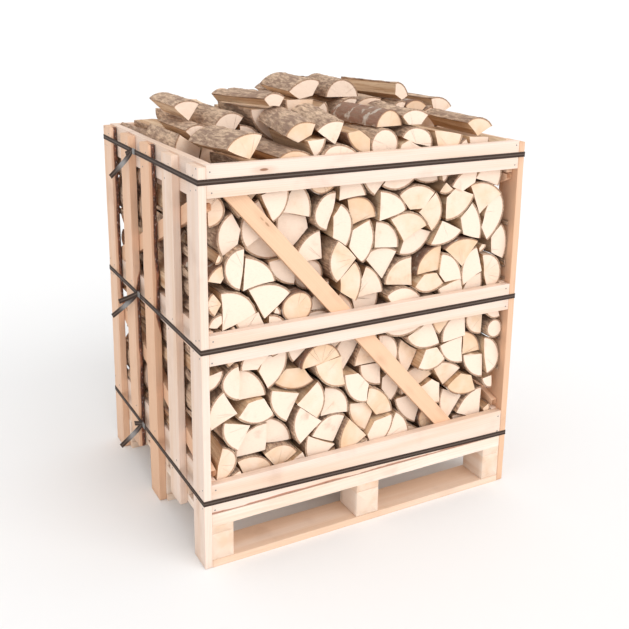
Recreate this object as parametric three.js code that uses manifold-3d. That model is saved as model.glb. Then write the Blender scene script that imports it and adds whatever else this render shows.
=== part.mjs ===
import * as THREE from "three";
import { mergeVertices } from "three/addons/utils/BufferGeometryUtils.js";
import Module from "manifold-3d";

// A slatted pallet crate filled with split firewood and tied with three flat straps.
// Millimetres. X runs to the right along the front, Y from the front to the back, Z up.
// The origin is on the floor, under the middle of the pallet.

// Whole crate
const WIDTH = 1000; // over the side slats
const DEPTH = 820; // over the front and back rails
const HEIGHT = 1080; // from the floor to the top of the rails
const GAP = 0.3; // clearance between two pieces that touch

// Pallet, from the floor up
const BOTTOM_TOP = 20; // top of the bottom boards
const BLOCK_TOP = 97;
const STRINGER_TOP = 120;
const DECK_TOP = 156;
const BOTTOM_BOARD_WIDE = 100;
const BLOCK_DEEP = 95;
const OUTER_BLOCK_WIDE = 61;
const MIDDLE_BLOCK_WIDE = 73;
const DECK_BOARD_WIDE = 118;
const DECK_BOARDS = 5;

// Slats on the left and right sides
const SLAT_THICK = 21;
const SLAT_WIDE = 78;
const SLATS = 5;
const LONG_SLAT_FOOT = 1; // the first, third and last slat run down beside the blocks
const SHORT_SLAT_FOOT = 90;
const SLAT_TOP = HEIGHT - 4;

// Rails and braces
const END_RAIL_THICK = 22;
const SIDE_RAIL_THICK = 21;
const END_RAILS = { bottom: [156, 241], middle: [571, 651], top: [1000, 1080] };
const SIDE_RAILS = { bottom: [156, 242], middle: [573, 653], top: [985, 1080] };
const BRACE_THICK = 20;
const BRACE_WIDE = 46;
const END_BRACE = { from: [-393, 994], to: [276, 236], low: 195, high: 1030 };
const SIDE_BRACES = {
  upper: { from: [-237, 924], to: [336, 672], low: 653, high: 985 },
  lower: { from: [-238, 293], to: [156, 415], low: 242, high: 573 },
};

// Straps and their crimped seals
const STRAP_THICK = 1;
const STRAP_WIDE = 13;
const STRAP_CLEAR = 0.4; // from the wood to the strap's inner face
const STRAP_CORNER = 1.8; // outer radius at the four corners
const TAIL_STEPS = 8;
const SEAL_Y = 90;
const SEAL = { long: 22, high: 17, wall: 0.9, clear: 0.5 };
const STRAPS = [
  {
    name: "top",
    z: 1040,
    tilt: [0, 0],
    tails: [
      { length: 116, droop: 48, bend: 45 },
      { length: 32, droop: 25, bend: 10 },
    ],
  },
  {
    name: "middle",
    z: 611,
    tilt: [0, 0],
    tails: [
      { length: 163, droop: 40, bend: 45 },
      { length: 80, droop: 31, bend: 38 },
    ],
  },
  {
    name: "bottom",
    z: 174,
    tilt: [-0.03, -0.01],
    tails: [
      { length: 144, droop: 50, bend: 45 },
      { length: 45, droop: 20, bend: 12 },
    ],
  },
];

// Logs: three rows, one behind the other, each heaped up towards its crown
const LOG_LENGTH = 240;
const TOP_LOG_LENGTH = 222; // of the log lying on each crown
const ROW_PITCH = 244;
const CROWN_STEPS = 14;
const ROWS = [
  { name: "front", y: -ROW_PITCH, side: 1120, crown: 1142, crownX: 60, logRadius: 46, logTurn: 6 },
  { name: "middle", y: 0, side: 1165, crown: 1186, crownX: 80, logRadius: 52, logTurn: -9 },
  { name: "back", y: ROW_PITCH, side: 1145, crown: 1164, crownX: -60, logRadius: 50, logTurn: 12 },
];

const wasm = await Module();
wasm.setup();

const rad = THREE.MathUtils.degToRad;
const halfWidth = WIDTH / 2;
const halfDepth = DEPTH / 2;
const sideX = halfWidth - SLAT_THICK; // the slats' inner face
const crate = new THREE.Group();

function finish(colour, roughness, metalness = 0) {
  return new THREE.MeshStandardMaterial({ color: colour, roughness, metalness });
}

const sawnBoard = finish(0xf3dcc0, 0.75);
const palletWood = finish(0xedd2b2, 0.8);
const braceWood = finish(0xf0c88c, 0.7);
const splitWood = finish(0xe2c8a8, 0.85);
const barkWood = finish(0x8a7462, 0.95);
const strapPlastic = finish(0x4a4442, 0.35);
const sealSteel = finish(0xb9bcc0, 0.35, 1);

function add(name, geometry, material) {
  const mesh = new THREE.Mesh(geometry, material);
  mesh.name = name;
  crate.add(mesh);
  return mesh;
}

function addBoard(name, [x0, x1], [y0, y1], [z0, z1], material = sawnBoard) {
  const mesh = add(name, new THREE.BoxGeometry(x1 - x0, y1 - y0, z1 - z0), material);
  mesh.position.set((x0 + x1) / 2, (y0 + y1) / 2, (z0 + z1) / 2);
}

// Booleans

function toSolid(geometry) {
  const bare = geometry.clone();
  bare.deleteAttribute("normal");
  bare.deleteAttribute("uv");
  const merged = mergeVertices(bare, 1e-4);
  return new wasm.Manifold(
    new wasm.Mesh({
      numProp: 3,
      vertProperties: new Float32Array(merged.attributes.position.array),
      triVerts: new Uint32Array(merged.index.array),
    }),
  );
}

function toGeometry(solid) {
  const { vertProperties, triVerts } = solid.getMesh();
  const geometry = new THREE.BufferGeometry();
  geometry.setAttribute("position", new THREE.BufferAttribute(vertProperties, 3));
  geometry.setIndex(new THREE.BufferAttribute(triVerts, 1));
  geometry.computeVertexNormals();
  return geometry;
}

function join(geometries) {
  return toGeometry(geometries.map(toSolid).reduce((whole, solid) => whole.add(solid)));
}

function keepInside(geometry, low, high) {
  const size = high.map((value, i) => value - low[i]);
  const space = new THREE.BoxGeometry(...size);
  space.translate(...low.map((value, i) => value + size[i] / 2));
  return toGeometry(toSolid(geometry).intersect(toSolid(space)));
}

// Pallet

function evenly(count, low, high) {
  return Array.from({ length: count }, (_, i) => low + (i * (high - low)) / (count - 1));
}

function around(middle, wide) {
  return [middle - wide / 2, middle + wide / 2];
}

function addPallet() {
  const inside = [-sideX + GAP, sideX - GAP];
  const columns = [
    ["left", [-sideX + GAP, -sideX + OUTER_BLOCK_WIDE]],
    ["middle", around(0, MIDDLE_BLOCK_WIDE)],
    ["right", [sideX - OUTER_BLOCK_WIDE, sideX - GAP]],
  ];
  const places = ["front", "middle", "back"];
  const boardY = evenly(3, -halfDepth + BOTTOM_BOARD_WIDE / 2, halfDepth - BOTTOM_BOARD_WIDE / 2);
  const blockY = evenly(3, -halfDepth + BLOCK_DEEP / 2 + 1, halfDepth - BLOCK_DEEP / 2 - 1);
  places.forEach((place, i) => {
    const deep = around(boardY[i], BOTTOM_BOARD_WIDE);
    addBoard(`bottom_board_${place}`, inside, deep, [0, BOTTOM_TOP], palletWood);
    columns.forEach(([column, wide]) => {
      const high = [BOTTOM_TOP + GAP, BLOCK_TOP];
      addBoard(`block_${place}_${column}`, wide, around(blockY[i], BLOCK_DEEP), high, palletWood);
    });
  });
  columns.forEach(([column, wide]) => {
    const high = [BLOCK_TOP + GAP, STRINGER_TOP];
    addBoard(`stringer_${column}`, wide, [-halfDepth + 1, halfDepth - 1], high, palletWood);
  });
  const deckEnd = halfDepth - DECK_BOARD_WIDE / 2;
  evenly(DECK_BOARDS, -deckEnd, deckEnd).forEach((y, i) => {
    const high = [STRINGER_TOP + GAP, DECK_TOP - GAP];
    addBoard(`deck_board_${i + 1}`, inside, around(y, DECK_BOARD_WIDE), high, palletWood);
  });
}

// Crate sides: slats outside, rails and braces behind them

function addSlats(side, sign) {
  const wide = [sign * sideX, sign * halfWidth].sort((a, b) => a - b);
  const end = halfDepth - SLAT_WIDE / 2;
  evenly(SLATS, -end, end).forEach((y, i) => {
    const foot = i % 2 ? SHORT_SLAT_FOOT : LONG_SLAT_FOOT;
    addBoard(`slat_${side}_${i + 1}`, wide, around(y, SLAT_WIDE), [foot, SLAT_TOP]);
  });
}

// A brace's outline in its own plane: a slanted lath through two points, longer than needed.
function lath([u0, v0], [u1, v1]) {
  const along = new THREE.Vector2(u1 - u0, v1 - v0).normalize().multiplyScalar(HEIGHT);
  const across = new THREE.Vector2(-along.y, along.x).setLength(BRACE_WIDE / 2);
  const middle = new THREE.Vector2((u0 + u1) / 2, (v0 + v1) / 2);
  const corners = [
    [-1, -1],
    [1, -1],
    [1, 1],
    [-1, 1],
  ];
  return new THREE.Shape(
    corners.map(([a, b]) => middle.clone().addScaledVector(along, a).addScaledVector(across, b)),
  );
}

function addSideFrame(side, sign) {
  const inner = sideX - GAP - SIDE_RAIL_THICK;
  const thick = [sign * inner, sign * (sideX - GAP)].sort((a, b) => a - b);
  const deep = halfDepth - END_RAIL_THICK - GAP;
  Object.entries(SIDE_RAILS).forEach(([place, high]) => {
    addBoard(`rail_${side}_${place}`, thick, [-deep, deep], high);
  });
  Object.entries(SIDE_BRACES).forEach(([place, { from, to, low, high }]) => {
    const geometry = new THREE.ExtrudeGeometry(lath(from, to), {
      depth: BRACE_THICK,
      bevelEnabled: false,
    });
    geometry.rotateX(Math.PI / 2).rotateZ(Math.PI / 2);
    geometry.translate(sign < 0 ? thick[1] - BRACE_THICK : thick[0], 0, 0);
    const space = [
      [-halfWidth, -deep + GAP, low + GAP],
      [halfWidth, deep - GAP, high - GAP],
    ];
    add(`brace_${side}_${place}`, keepInside(geometry, ...space), braceWood);
  });
}

// The front is at sign -1 and the back at +1. Seen from outside, both braces fall to the right.
function addEndFrame(end, sign) {
  const inside = [-sideX + GAP, sideX - GAP];
  const deep = [sign * halfDepth, sign * (halfDepth - END_RAIL_THICK)].sort((a, b) => a - b);
  Object.entries(END_RAILS).forEach(([place, high]) => {
    addBoard(`rail_${end}_${place}`, inside, deep, high);
  });
  const { from, to, low, high } = END_BRACE;
  const geometry = new THREE.ExtrudeGeometry(lath(from, to), {
    depth: BRACE_THICK,
    bevelEnabled: false,
  });
  geometry.rotateX(Math.PI / 2);
  geometry.translate(0, -halfDepth + END_RAIL_THICK + GAP + BRACE_THICK, 0);
  const brace = keepInside(geometry, [-sideX, -halfDepth, low], [sideX, halfDepth, high]);
  const mesh = add(`brace_${end}`, brace, braceWood);
  mesh.rotation.z = sign < 0 ? 0 : Math.PI;
}

// Straps and seals

function roundedBox(halfX, halfY, radius) {
  const shape = new THREE.Shape();
  shape.absarc(halfX - radius, halfY - radius, radius, 0, Math.PI / 2);
  shape.absarc(-halfX + radius, halfY - radius, radius, Math.PI / 2, Math.PI);
  shape.absarc(-halfX + radius, -halfY + radius, radius, Math.PI, 1.5 * Math.PI);
  shape.absarc(halfX - radius, -halfY + radius, radius, 1.5 * Math.PI, 2 * Math.PI);
  return shape;
}

function strapRing() {
  const inner = [halfWidth + STRAP_CLEAR, halfDepth + STRAP_CLEAR];
  const outer = inner.map((half) => half + STRAP_THICK);
  const shape = roundedBox(...outer, STRAP_CORNER);
  shape.holes.push(roundedBox(...inner, STRAP_CORNER - STRAP_THICK));
  const geometry = new THREE.ExtrudeGeometry(shape, {
    depth: STRAP_WIDE,
    bevelEnabled: false,
    curveSegments: 4,
  });
  return geometry.translate(0, 0, -STRAP_WIDE / 2);
}

// The free end past the seal: it leans away from the slats along a parabola and droops.
function strapTail({ length, droop, bend }) {
  const steps = Array.from({ length: TAIL_STEPS + 1 }, (_, i) => i / TAIL_STEPS);
  const face = (offset) => steps.map((t) => new THREE.Vector2(t * length, bend * t * t + offset));
  const shape = new THREE.Shape([...face(0), ...face(STRAP_THICK).reverse()]);
  const geometry = new THREE.ExtrudeGeometry(shape, { depth: STRAP_WIDE, bevelEnabled: false });
  geometry.translate(0, 0, -STRAP_WIDE / 2).rotateZ(Math.PI / 2).rotateX(-rad(droop));
  return geometry.translate(-halfWidth - STRAP_CLEAR - 0.1, SEAL_Y + SEAL.long / 2 + 6, 0);
}

function sealSleeve() {
  const inner = [STRAP_THICK / 2 + SEAL.clear, STRAP_WIDE / 2 + SEAL.clear];
  const shape = roundedBox(inner[0] + SEAL.wall, SEAL.high / 2, 0.8);
  shape.holes.push(roundedBox(...inner, 0.3));
  const geometry = new THREE.ExtrudeGeometry(shape, {
    depth: SEAL.long,
    bevelEnabled: false,
    curveSegments: 2,
  });
  geometry.rotateX(Math.PI / 2);
  return geometry.translate(-halfWidth - STRAP_CLEAR - STRAP_THICK / 2, SEAL_Y + SEAL.long / 2, 0);
}

function addStraps() {
  STRAPS.forEach(({ name, z, tilt, tails }) => {
    const strap = join([strapRing(), ...tails.map(strapTail)]);
    const shear = new THREE.Matrix4().set(1, 0, 0, 0, 0, 1, 0, 0, ...tilt, 1, 0, 0, 0, 0, 1);
    strap.applyMatrix4(shear);
    add(`strap_${name}`, strap, strapPlastic).position.z = z;
    const sealZ = z - tilt[0] * halfWidth + tilt[1] * SEAL_Y;
    add(`seal_${name}`, sealSleeve(), sealSteel).position.z = sealZ;
  });
}

// Logs

// One row of logs as the solid that its bark and its split faces fill, seen from the front.
function rowOutline({ side, crown, crownX }) {
  const half = sideX - SIDE_RAIL_THICK - 3 * GAP;
  const top = evenly(CROWN_STEPS + 1, half, -half).map((x) => {
    const away = (x - crownX) / (Math.sign(x - crownX) * half - crownX);
    return new THREE.Vector2(x, side + (crown - side) * (1 - away * away));
  });
  const floor = [new THREE.Vector2(-half, DECK_TOP), new THREE.Vector2(half, DECK_TOP)];
  return new THREE.Shape([...floor, ...top]);
}

function halfRound(radius) {
  const shape = new THREE.Shape();
  shape.absarc(0, 0, radius, 0, Math.PI);
  return shape;
}

function alongY(section, length) {
  const geometry = new THREE.ExtrudeGeometry(section, { depth: length, bevelEnabled: false });
  return geometry.translate(0, 0, -length / 2).rotateX(Math.PI / 2);
}

function addLogs() {
  ROWS.forEach((row) => {
    const stack = alongY(rowOutline(row), LOG_LENGTH);
    add(`log_row_${row.name}`, stack, splitWood).position.y = row.y;
    const log = alongY(halfRound(row.logRadius), TOP_LOG_LENGTH);
    const mesh = add(`top_log_${row.name}`, log, barkWood);
    mesh.position.set(row.crownX, row.y, row.crown + GAP);
    mesh.rotation.z = rad(row.logTurn);
  });
}

addPallet();
[
  ["left", -1],
  ["right", 1],
].forEach(([side, sign]) => {
  addSlats(side, sign);
  addSideFrame(side, sign);
});
addEndFrame("front", -1);
addEndFrame("back", 1);
addStraps();
addLogs();

export default crate;
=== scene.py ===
"""The looks of a slatted pallet crate, filled with split firewood and tied with three flat straps."""

import math

import bpy
import numpy as np
from bpy.props import FloatProperty, FloatVectorProperty, IntProperty, PointerProperty
from mathutils import Matrix, Vector


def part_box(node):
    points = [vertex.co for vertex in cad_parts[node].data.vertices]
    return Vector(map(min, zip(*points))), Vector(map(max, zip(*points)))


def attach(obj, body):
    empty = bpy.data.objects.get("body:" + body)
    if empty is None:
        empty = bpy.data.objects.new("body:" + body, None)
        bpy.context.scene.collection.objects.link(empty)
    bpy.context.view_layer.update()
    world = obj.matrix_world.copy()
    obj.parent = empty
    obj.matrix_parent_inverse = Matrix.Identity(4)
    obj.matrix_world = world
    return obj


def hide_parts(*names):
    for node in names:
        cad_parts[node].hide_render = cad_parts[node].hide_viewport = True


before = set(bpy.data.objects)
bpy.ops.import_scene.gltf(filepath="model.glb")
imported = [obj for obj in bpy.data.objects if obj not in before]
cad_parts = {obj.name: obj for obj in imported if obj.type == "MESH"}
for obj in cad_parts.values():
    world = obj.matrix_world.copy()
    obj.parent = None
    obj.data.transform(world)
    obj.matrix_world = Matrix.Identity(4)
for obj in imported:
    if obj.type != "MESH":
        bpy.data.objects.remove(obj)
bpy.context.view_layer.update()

bl_info = {
    "name": "Firewood Pallet Crate",
    "version": (1, 0, 0),
    "blender": (4, 5, 0),
    "location": "3D View > Sidebar > Firewood",
    "description": "Makes the boards, straps and split logs of a firewood crate",
    "category": "Object",
}

ROWS = ("front", "middle", "back")
SIDES = ("left", "right")
LEVELS = ("top", "middle", "bottom")
CORNERS = ((1, 1), (-1, 1), (-1, -1), (1, -1))


def linear(code):
    """A colour written as 0xRRGGBB, as the linear values that the shaders use."""
    shares = [(code >> shift & 255) / 255 for shift in (16, 8, 0)]
    return tuple(c / 12.92 if c <= 0.04045 else ((c + 0.055) / 1.055) ** 2.4 for c in shares)


def colour(name, description, code):
    return FloatVectorProperty(
        name=name, description=description, default=linear(code), subtype="COLOR", min=0, max=1
    )


def length(name, description, default):
    return FloatProperty(
        name=name, description=description, default=default, unit="LENGTH", precision=4, min=0
    )


def share(name, description, default):
    return FloatProperty(
        name=name, description=description, default=default, subtype="FACTOR", min=0, max=1
    )


def angle(name, description, degrees):
    return FloatProperty(
        name=name, description=description, default=math.radians(degrees), subtype="ANGLE"
    )


class BoardSettings(bpy.types.PropertyGroup):
    """Sizes and colours of the sawn boards."""

    edge: length("Edge", "How far the sawn edges are worn round", 0.0012)
    wander: length("Wander", "How far a board's faces stray from flat", 0.0008)
    wane: length("Wane", "Depth of the bark edge left on some boards", 0.0085)
    nail: length("Nail", "Radius of a nail head", 0.0022)
    pale: colour("Pale wood", "Sapwood of the slats and rails", 0xF8E4D6)
    warm: colour("Warm wood", "Heartwood streaks of the slats and rails", 0xE6BE98)
    rosy: colour("Rosy wood", "The redder slats and the side braces", 0xEBB78F)
    gold: colour("Golden wood", "The front and back braces", 0xF6CDAB)
    raw: colour("Pallet wood", "The pallet's blocks and boards", 0xFFF0E2)
    knot: colour("Knot", "Knots in all the boards", 0x8A5434)
    edge_bark: colour("Edge bark", "Bark left along an edge", 0x54403A)
    edge_red: colour("Edge margin", "The red wood beside the bark", 0xA8694C)
    edge_fleck: colour("Edge flecks", "Pale flecks in the bark", 0xCFC2BA)
    steel: colour("Steel", "Nail heads and strap seals", 0x8C8A88)
    rust: colour("Rust", "Dull spots on the steel", 0x5E4A40)


class LogSettings(bpy.types.PropertyGroup):
    """Sizes and colours of the split logs."""

    seed: IntProperty(name="Seed", description="Picks another stack of logs", default=7)
    area: FloatProperty(
        name="Section", description="Usual area of a split log's end", default=0.0041, unit="AREA"
    )
    recess: length("Recess", "How far a log's end may stand back from the stack's face", 0.024)
    bark: length("Bark", "Thickness of the bark", 0.0036)
    furrow: length("Furrow", "Depth of the furrows in the bark", 0.0024)
    end_pale: colour("Pale end", "Fresh sawn end of a log", 0xFAE4D1)
    end_warm: colour("Warm end", "Older sawn end of a log", 0xEBC7A2)
    split_pale: colour("Pale split", "Split face along the grain", 0xE8CAA8)
    split_warm: colour("Warm split", "Darker split face along the grain", 0xC39A74)
    inner_bark: colour("Inner bark", "The layer between bark and wood", 0xA06C44)
    bark_dark: colour("Dark bark", "Furrows in the bark", 0x987C6A)
    bark_light: colour("Light bark", "Ridges of the bark", 0xDEC0A3)
    bark_red: colour("Red bark", "Bark of the younger logs", 0x7E4D3E)
    bark_white: colour("White bark", "Pale patches on young bark", 0xCFC2B4)


class StrapSettings(bpy.types.PropertyGroup):
    """Sizes and colours of the straps."""

    width: length("Width", "Width of the band", 0.0145)
    thick: length("Thickness", "Thickness of the band", 0.001)
    clear: length("Clearance", "From the wood to the band", 0.0004)
    band: colour("Band", "The band's embossed faces", 0x43352E)
    shine: colour("Centre line", "The smooth line along the middle of the band", 0x6B5D55)
    # painted highlight: a lighter grey patch stands in for the glossy sheen on the longer free ends
    painted_sheen: colour("Sheen", "The scuffed part of the free ends", 0xA9A7A6)


class StageSettings(bpy.types.PropertyGroup):
    """The camera, the lights and the floor."""

    floor: colour("Floor", "The floor's colour", 0xF4F4F4)
    floor_cloud: colour("Floor clouds", "Faint clouds on the floor", 0xE6E6E6)
    sky: FloatProperty(name="Sky", description="Strength of the light from all round", default=0.92)
    key: FloatProperty(name="Key", description="Strength of the main light", default=1.44)
    key_from: FloatVectorProperty(
        name="Key from", description="Where the main light comes from", default=(0.25, -0.8, 0.5)
    )
    softness: angle("Softness", "How wide the main light looks", 60)
    lens: FloatProperty(
        name="Lens", description="Focal length in millimetres", default=50, unit="CAMERA"
    )
    place: FloatVectorProperty(
        name="Camera",
        description="Where the camera stands",
        default=(-1.2188, -2.3121, 1.4515),
        subtype="TRANSLATION",
    )
    turn: angle("Turn", "How far the camera looks to the right of straight ahead", 28.5)
    tilt: angle("Tilt", "How far the camera looks down", 13.87)
    roll: angle("Roll", "How far the camera leans", 0.71)
    shift: FloatProperty(name="Shift", description="Upward shift of the lens", default=-0.15)


# Repeatable noise


def hashed(cells, seed):
    """A repeatable number from -1 to 1 for each cell of a whole-number lattice."""
    mixed = cells[..., 0] * 374761393 + cells[..., 1] * 668265263 + cells[..., 2] * 1440662683
    mixed = (mixed + seed * 974711) & 0xFFFFFFFF
    mixed = ((mixed ^ (mixed >> 13)) * 1274126177) & 0xFFFFFFFF
    return ((mixed ^ (mixed >> 16)) & 0xFFFF) / 32767.5 - 1


def noise(points, seed=0):
    """Smooth noise from -1 to 1 at points (..., 3), with lumps about one unit wide."""
    cell = np.floor(points).astype(np.int64)
    part = points - cell
    part = part * part * (3 - 2 * part)
    total = np.zeros(points.shape[:-1])
    for corner in np.ndindex(2, 2, 2):
        weight = np.where(corner, part, 1 - part).prod(axis=-1)
        total += weight * hashed(cell + np.array(corner), seed)
    return total


# Meshes


class Body:
    """Gathers the points, faces and point attributes of one piece."""

    def __init__(self):
        self.points, self.faces, self.traits, self.count = [], [], {}, 0

    def add(self, points, faces, **traits):
        """Adds one closed part, turned so that its faces point out."""
        triangles = [f[:, [0, i, i + 1]] for f in faces for i in range(1, f.shape[1] - 1)]
        a, b, c = points[np.concatenate(triangles).T]
        if np.einsum("ij,ij->", a, np.cross(b, c)) < 0:
            faces = [f[:, ::-1] for f in faces]
        self.points.append(points)
        self.faces += [f + self.count for f in faces]
        self.count += len(points)
        for name, values in traits.items():
            self.traits.setdefault(name, []).append(values)

    def make(self, name, material, smooth=35):
        """The finished object, with its attributes, riding on the crate."""
        mesh = bpy.data.meshes.new(name)
        points = np.concatenate(self.points)
        corners = np.concatenate([f.ravel() for f in self.faces])
        sizes = np.concatenate([np.full(len(f), f.shape[1]) for f in self.faces])
        mesh.vertices.add(len(points))
        mesh.vertices.foreach_set("co", points.astype(np.float32).ravel())
        mesh.loops.add(len(corners))
        mesh.loops.foreach_set("vertex_index", corners.astype(np.int32))
        mesh.polygons.add(len(sizes))
        starts = np.concatenate([[0], np.cumsum(sizes)[:-1]])
        mesh.polygons.foreach_set("loop_start", starts.astype(np.int32))
        mesh.update(calc_edges=True)
        mesh.validate()
        for key, values in self.traits.items():
            layer = mesh.attributes.new(key, "FLOAT_VECTOR", "POINT")
            layer.data.foreach_set("vector", np.concatenate(values).astype(np.float32).ravel())
        mesh.shade_smooth()
        mesh.set_sharp_from_angle(angle=math.radians(smooth))
        mesh.materials.append(material)
        piece = bpy.data.objects.new(name, mesh)
        bpy.context.scene.collection.objects.link(piece)
        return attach(piece, "root")


def tube_faces(rings, around):
    """Quads along a tube of rings, and a fan on each end to the two points that follow the rings."""
    start = np.arange(rings - 1)[:, None] * around
    here = np.arange(around)
    after = (here + 1) % around
    quads = np.stack([start + here, start + after, start + around + after, start + around + here], -1)
    ends = (rings * around, (rings - 1) * around)
    near = np.stack([np.full(around, ends[0]), after, here], -1)
    far = np.stack([np.full(around, ends[0] + 1), ends[1] + here, ends[1] + after], -1)
    return [quads.reshape(-1, 4), near, far]


def tube(rings):
    """Points of a closed tube from its rings (rings, around, 3): the rings, then the two end points."""
    return np.concatenate([rings.reshape(-1, 3), rings[0].mean(0)[None], rings[-1].mean(0)[None]])


# Materials


def plug(tree, socket, value):
    """Links a shader value to a socket, or sets the socket to a plain value."""
    if isinstance(value, Value):
        tree.links.new(socket, value.socket)
    else:
        socket.default_value = value


class Value:
    """A shader socket. Operators on it add Math nodes."""

    def __init__(self, tree, socket):
        self.tree, self.socket = tree, socket

    def math(self, operation, *values):
        node = self.tree.nodes.new("ShaderNodeMath")
        node.operation = operation
        for socket, value in zip(node.inputs, values):
            plug(self.tree, socket, value)
        return Value(self.tree, node.outputs[0])

    def __add__(self, other):
        return self.math("ADD", self, other)

    def __sub__(self, other):
        return self.math("SUBTRACT", self, other)

    def __rsub__(self, other):
        return self.math("SUBTRACT", other, self)

    def __mul__(self, other):
        return self.math("MULTIPLY", self, other)

    def __truediv__(self, other):
        return self.math("DIVIDE", self, other)

    __radd__ = __add__
    __rmul__ = __mul__

    def power(self, other):
        return self.math("POWER", self, other)

    def sine(self):
        return self.math("SINE", self)

    def most(self, other):
        return self.math("MAXIMUM", self, other)

    def size(self):
        return self.math("ABSOLUTE", self)


class Finish:
    """A material built from nodes."""

    def __init__(self, name):
        self.material = bpy.data.materials.new(name)
        self.material.use_nodes = True
        self.tree = self.material.node_tree
        self.tree.nodes.clear()

    def node(self, kind, settings=None, inputs=None, output=0):
        """One node: its settings are set first, then its sockets get values or links."""
        node = self.tree.nodes.new("ShaderNode" + kind)
        for key, value in (settings or {}).items():
            setattr(node, key, value)
        for key, value in (inputs or {}).items():
            plug(self.tree, node.inputs[key], value)
        return Value(self.tree, node.outputs[output])

    def attribute(self, name):
        return self.node("Attribute", {"attribute_name": name}, output="Vector")

    def parts(self, vector):
        """The three numbers of a vector."""
        x = self.node("SeparateXYZ", inputs={0: vector})
        return [Value(self.tree, socket) for socket in x.socket.node.outputs]

    def vector(self, x, y, z):
        return self.node("CombineXYZ", inputs={0: x, 1: y, 2: z})

    def stretch(self, vector, factors):
        return self.node("VectorMath", {"operation": "MULTIPLY"}, {0: vector, 1: factors})

    def noise(self, vector, scale=1.0, detail=3.0, roughness=0.5):
        sockets = {"Vector": vector, "Scale": scale, "Detail": detail, "Roughness": roughness}
        return self.node("TexNoise", inputs=sockets)

    def ramp(self, value, low, high):
        """0 where value is under low, 1 where it is over high, and smooth between."""
        inputs = {"Value": value, "From Min": low, "From Max": high}
        return self.node("MapRange", {"interpolation_type": "SMOOTHSTEP"}, inputs)

    def mix(self, factor, a, b):
        """Colour a where factor is 0 and colour b where it is 1."""
        a, b = (c if isinstance(c, Value) else (*c, 1) for c in (a, b))
        return self.node("Mix", {"data_type": "RGBA"}, {0: factor, 6: a, 7: b}, 2)

    def surface(self, height=None, distance=0.001, **sockets):
        """Ends the material in one Principled shader."""
        inputs = {name.replace("_", " "): value for name, value in sockets.items()}
        if height is not None:
            bump = {"Strength": 1.0, "Distance": distance, "Height": height}
            inputs["Normal"] = self.node("Bump", inputs=bump)
        shader = self.node("BsdfPrincipled", inputs=inputs)
        end = self.tree.nodes.new("ShaderNodeOutputMaterial")
        plug(self.tree, end.inputs["Surface"], shader)
        return self.material


def sawn_wood(name, pale, warm, settings, knots=0.1):
    """Sawn softwood. Attribute grain is along, across and through the board in metres.
    Attribute trait is the board's tone, its bark edge and its end grain."""
    make = Finish(name)
    grain = make.attribute("grain")
    tone, bark, end = make.parts(make.attribute("trait"))
    _, across, through = make.parts(grain)
    broad = make.noise(make.stretch(grain, (1.6, 26, 26)), detail=2)
    fine = make.noise(make.stretch(grain, (9, 420, 420)), detail=4, roughness=0.6)
    wobble = make.noise(make.stretch(grain, (2.2, 14, 14)), detail=1)
    rings = ((across + through * 0.6 + wobble * 0.03) * 1150).sine() * 0.5 + 0.5
    spots = make.node(
        "TexVoronoi", inputs={"Vector": make.stretch(grain, (7, 24, 24)), "Scale": 1.0}, output="Distance"
    )
    spot_pick = make.noise(make.stretch(grain, (1.1, 2.5, 2.5)), detail=0)
    picked = make.ramp(spot_pick, 0.62 - 0.1 * knots, 0.66)
    knot = (1 - make.ramp(spots, 0.06, 0.1)) * picked
    halo = (1 - make.ramp(spots, 0.1, 0.34)) * picked
    heart = make.ramp(broad + tone * 0.34, 0.42, 0.86)
    wood = make.mix(heart * 0.55, pale, warm)
    wood = make.mix(make.ramp(tone, 0.45, 1.0) * 0.75, wood, settings.rosy)
    streak = rings * 0.07 + fine * 0.26 + halo * 0.25
    wood = make.mix(streak, wood, make.mix(0.55, warm, settings.knot))
    wood = make.mix(knot * 0.85, wood, settings.knot)
    stain = make.ramp(make.noise(grain, 7.0, detail=4), 0.56, 0.78)
    wood = make.mix(stain * 0.22, wood, settings.knot)
    cut_end = make.mix(rings * 0.35 + fine * 0.3, warm, make.mix(0.5, warm, settings.knot))
    wood = make.mix(end * 0.3, wood, cut_end)
    flake = make.noise(make.stretch(grain, (60, 160, 160)), detail=4)
    fleck = make.noise(make.stretch(grain, (110, 260, 260)), detail=2)
    bark_colour = make.mix(make.ramp(flake, 0.4, 0.7) * 0.6, settings.edge_bark, settings.edge_red)
    bark_colour = make.mix(make.ramp(fleck, 0.6, 0.66) * 0.8, bark_colour, settings.edge_fleck)
    margin = make.ramp(bark + (flake - 0.5) * 0.3, 0.12, 0.32)
    edge = make.ramp(bark + (flake - 0.5) * 0.5, 0.5, 0.66)
    wood = make.mix(edge, make.mix(margin * 0.8, wood, settings.edge_red), bark_colour)
    rough = 0.58 + fine * 0.22 + edge * 0.15
    height = fine * 0.55 + rings * 0.12 - knot * 0.3 + edge * flake * 1.6
    return make.surface(height, 0.0006, Base_Color=wood, Roughness=rough, Specular_IOR_Level=0.35)


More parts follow.
